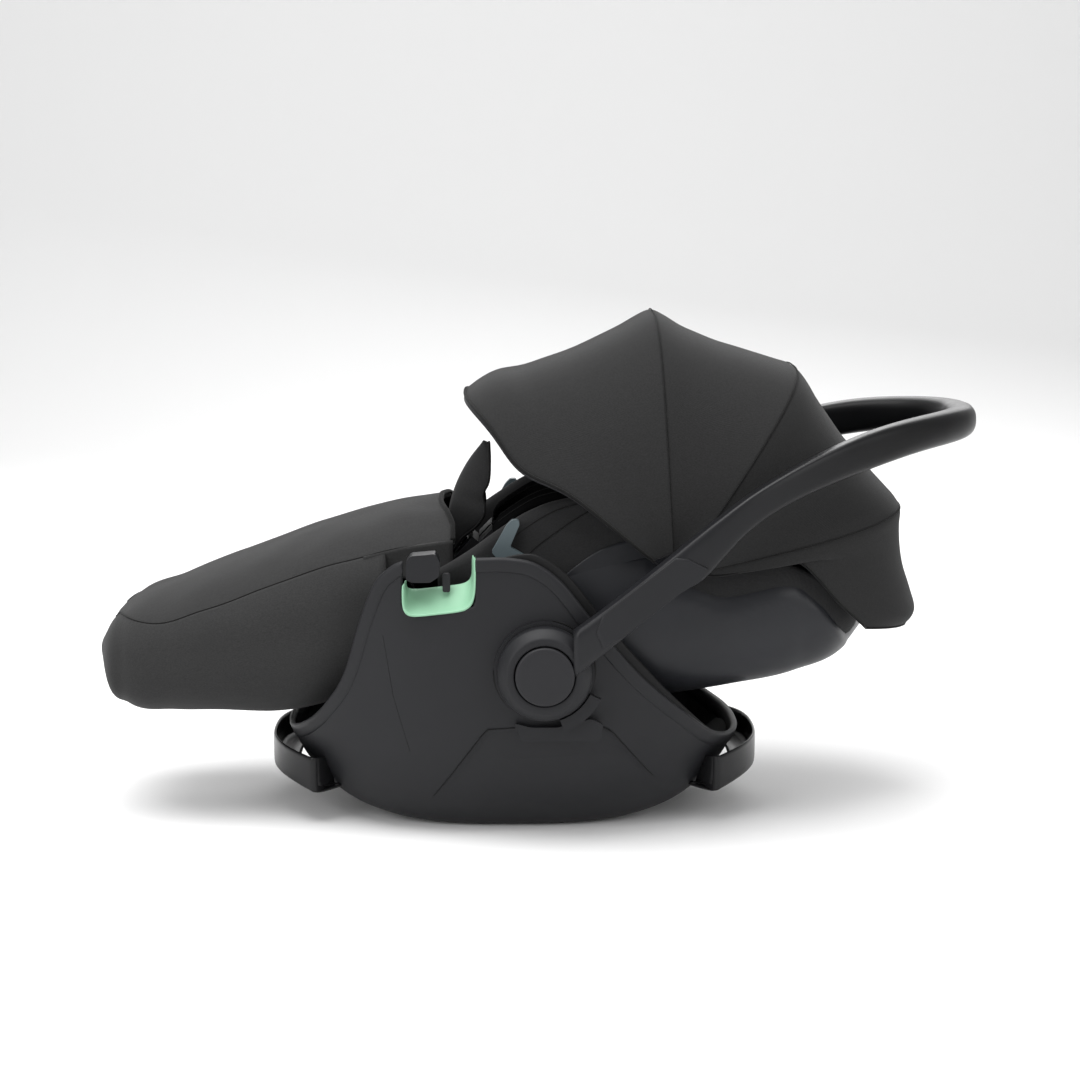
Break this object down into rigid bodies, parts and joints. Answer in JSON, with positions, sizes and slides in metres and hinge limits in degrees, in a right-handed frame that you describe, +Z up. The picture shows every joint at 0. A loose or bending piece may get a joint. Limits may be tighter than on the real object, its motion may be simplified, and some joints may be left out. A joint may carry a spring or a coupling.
{
  "type": "infant car seat",
  "caption": "Lie-flat infant carrier seat with rocker shell, laid-back carry handle, folding canopy, harness and padded footmuff.",
  "frame": {"origin": "on the floor, bottom centre of the seat's bounding box, under the handle's hub axis", "axes": "+X towards the head end, +Y towards the child's right side, +Z up"},
  "size_m": [0.8497, 0.4306, 0.4841],
  "materials": {
    "shell_plastic": "fine-grained moulded plastic",
    "handle_plastic": "satin moulded plastic, glossier at the grip",
    "mint_plastic": "satin moulded plastic",
    "trim_plastic": "fine-grained moulded plastic",
    "lever_plastic": "satin moulded plastic",
    "button_plastic": "moulded plastic",
    "steel": "zinc plated",
    "rubber": "moulded rubber",
    "canopy_fabric": "fine plain weave",
    "muff_fabric": "fine plain weave over padding",
    "seat_fabric": "soft knit over padding",
    "webbing": "woven webbing",
    "foam": "moulded foam"
  },
  "bodies": {
    "base": {"outer_shell": "shell_plastic", "leg_end_band": "shell_plastic", "head_end_band": "shell_plastic", "docking_bars": "steel", "rocker_feet": "rubber", "rear_foot_block": "shell_plastic", "hub_rings": "shell_plastic", "adapter_blocks": "shell_plastic", "belt_guide_left": "mint_plastic", "belt_guide_right": "mint_plastic", "belt_guide_covers": "trim_plastic", "recline_pins": "steel", "shell_screws": "steel"},
    "handle": {"carry_handle": "handle_plastic", "handle_inserts": "shell_plastic", "handle_hub_left": "shell_plastic", "handle_hub_right": "shell_plastic", "handle_axles": "steel", "lock_discs": "steel", "button_springs": "steel"},
    "button_left": {"handle_button_left": "trim_plastic"},
    "button_right": {"handle_button_right": "trim_plastic"},
    "latch_left": {"hub_latch_tab_left": "trim_plastic"},
    "latch_right": {"hub_latch_tab_right": "trim_plastic"},
    "retainer_left": {"belt_retainer_left": "trim_plastic"},
    "retainer_right": {"belt_retainer_right": "trim_plastic"},
    "seat": {"inner_shell": "shell_plastic", "foam_liner": "foam", "seat_cover": "seat_fabric", "bottom_pad": "seat_fabric", "back_pad": "seat_fabric", "shoulder_strap_left": "webbing", "shoulder_strap_right": "webbing", "shoulder_pad_left": "seat_fabric", "shoulder_pad_right": "seat_fabric", "crotch_strap": "webbing", "crotch_pad": "seat_fabric", "buckle_body": "trim_plastic", "buckle_tongues": "steel", "adjuster_strap": "webbing", "canopy_pivots": "trim_plastic", "rear_bow": "trim_plastic", "canopy_skirt": "canopy_fabric"},
    "buckle_push": {"buckle_button": "button_plastic"},
    "adjuster_push": {"adjuster_button": "lever_plastic"},
    "lever_left": {"recline_lever_left": "lever_plastic"},
    "lever_right": {"recline_lever_right": "lever_plastic"},
    "headrest": {"headrest_shell": "trim_plastic", "headrest_pad": "seat_fabric"},
    "upper_bow_body": {"upper_bow": "trim_plastic", "canopy_back_panel": "canopy_fabric"},
    "top_bow_body": {"top_bow": "trim_plastic", "canopy_top_panel": "canopy_fabric"},
    "front_bow_body": {"front_bow": "trim_plastic", "canopy_front_panel": "canopy_fabric"},
    "leg_rest": {"leg_rest_frame": "trim_plastic", "leg_rest_pins": "steel", "footmuff_body": "muff_fabric", "footmuff_cover": "muff_fabric", "muff_tag": "webbing"}
  },
  "joints": [
    {"name": "carry_handle_swing", "type": "hinge", "parent": "base", "child": "handle", "pos_m": [0, 0, 0.163], "axis": [0, -1, 0], "range_deg": [0, 115]},
    {"name": "seat_recline", "type": "hinge", "parent": "base", "child": "seat", "pos_m": [0.03, 0, 0.175], "axis": [0, -1, 0], "range_deg": [0, 16], "deforming": ["canopy_skirt"]},
    {"name": "leg_rest_fold", "type": "hinge", "parent": "seat", "child": "leg_rest", "pos_m": [-0.142, 0, 0.19], "axis": [0, -1, 0], "range_deg": [-40, 0], "deforming": ["footmuff_cover"]},
    {"name": "canopy_fold", "type": "hinge", "parent": "seat", "child": "upper_bow_body", "pos_m": [0.12, 0, 0.245], "axis": [0, 1, 0], "range_deg": [0, 30], "deforming": ["canopy_back_panel"]},
    {"name": "canopy_top_fold", "type": "hinge", "parent": "upper_bow_body", "child": "top_bow_body", "pos_m": [0.12, 0, 0.245], "axis": [0, 1, 0], "range_deg": [0, 27.5], "deforming": ["canopy_top_panel"]},
    {"name": "canopy_front_fold", "type": "hinge", "parent": "top_bow_body", "child": "front_bow_body", "pos_m": [0.12, 0, 0.245], "axis": [0, 1, 0], "range_deg": [0, 36], "deforming": ["canopy_front_panel"]},
    {"name": "headrest_slide", "type": "slide", "parent": "seat", "child": "headrest", "axis": [1, 0, 0], "range_m": [0, 0.05]},
    {"name": "buckle_release", "type": "slide", "parent": "seat", "child": "buckle_push", "axis": [0.7413, 0, -0.6712], "range_m": [0, 0.0015], "stiffness_N_per_m": 600},
    {"name": "adjuster_press", "type": "slide", "parent": "seat", "child": "adjuster_push", "axis": [0, 0, -1], "range_m": [0, 0.003], "stiffness_N_per_m": 500},
    {"name": "handle_button_press_left", "type": "slide", "parent": "handle", "child": "button_left", "axis": [0, 1, 0], "range_m": [0, 0.004], "stiffness_N_per_m": 1500, "deforming": ["button_springs"]},
    {"name": "hub_latch_press_left", "type": "hinge", "parent": "base", "child": "latch_left", "pos_m": [0, 0, 0.163], "axis": [0, -1, 0], "range_deg": [0, 12], "stiffness_Nm_per_rad": 0.5},
    {"name": "belt_retainer_swing_left", "type": "hinge", "parent": "base", "child": "retainer_left", "pos_m": [-0.0895, -0.163, 0.247], "axis": [0, 1, 0], "range_deg": [0, 35], "stiffness_Nm_per_rad": 0.02},
    {"name": "recline_lever_pull_left", "type": "hinge", "parent": "seat", "child": "lever_left", "pos_m": [-0.026, -0.144, 0.262], "axis": [0, 1, 0], "range_deg": [0, 12], "stiffness_Nm_per_rad": 0.3},
    {"name": "handle_button_press_right", "type": "slide", "parent": "handle", "child": "button_right", "axis": [0, -1, 0], "range_m": [0, 0.004], "stiffness_N_per_m": 1500, "deforming": ["button_springs"]},
    {"name": "hub_latch_press_right", "type": "hinge", "parent": "base", "child": "latch_right", "pos_m": [0, 0, 0.163], "axis": [0, -1, 0], "range_deg": [0, 12], "stiffness_Nm_per_rad": 0.5},
    {"name": "belt_retainer_swing_right", "type": "hinge", "parent": "base", "child": "retainer_right", "pos_m": [-0.0895, 0.163, 0.247], "axis": [0, 1, 0], "range_deg": [0, 35], "stiffness_Nm_per_rad": 0.02},
    {"name": "recline_lever_pull_right", "type": "hinge", "parent": "seat", "child": "lever_right", "pos_m": [-0.026, 0.144, 0.262], "axis": [0, 1, 0], "range_deg": [0, 12], "stiffness_Nm_per_rad": 0.3}
  ],
  "couplings": [
    {"joint": "leg_rest_fold", "follows": "seat_recline", "ratio": -2.4},
    {"joint": "canopy_top_fold", "follows": "canopy_fold", "ratio": 0.882},
    {"joint": "canopy_front_fold", "follows": "canopy_fold", "ratio": 1.176}
  ]
}
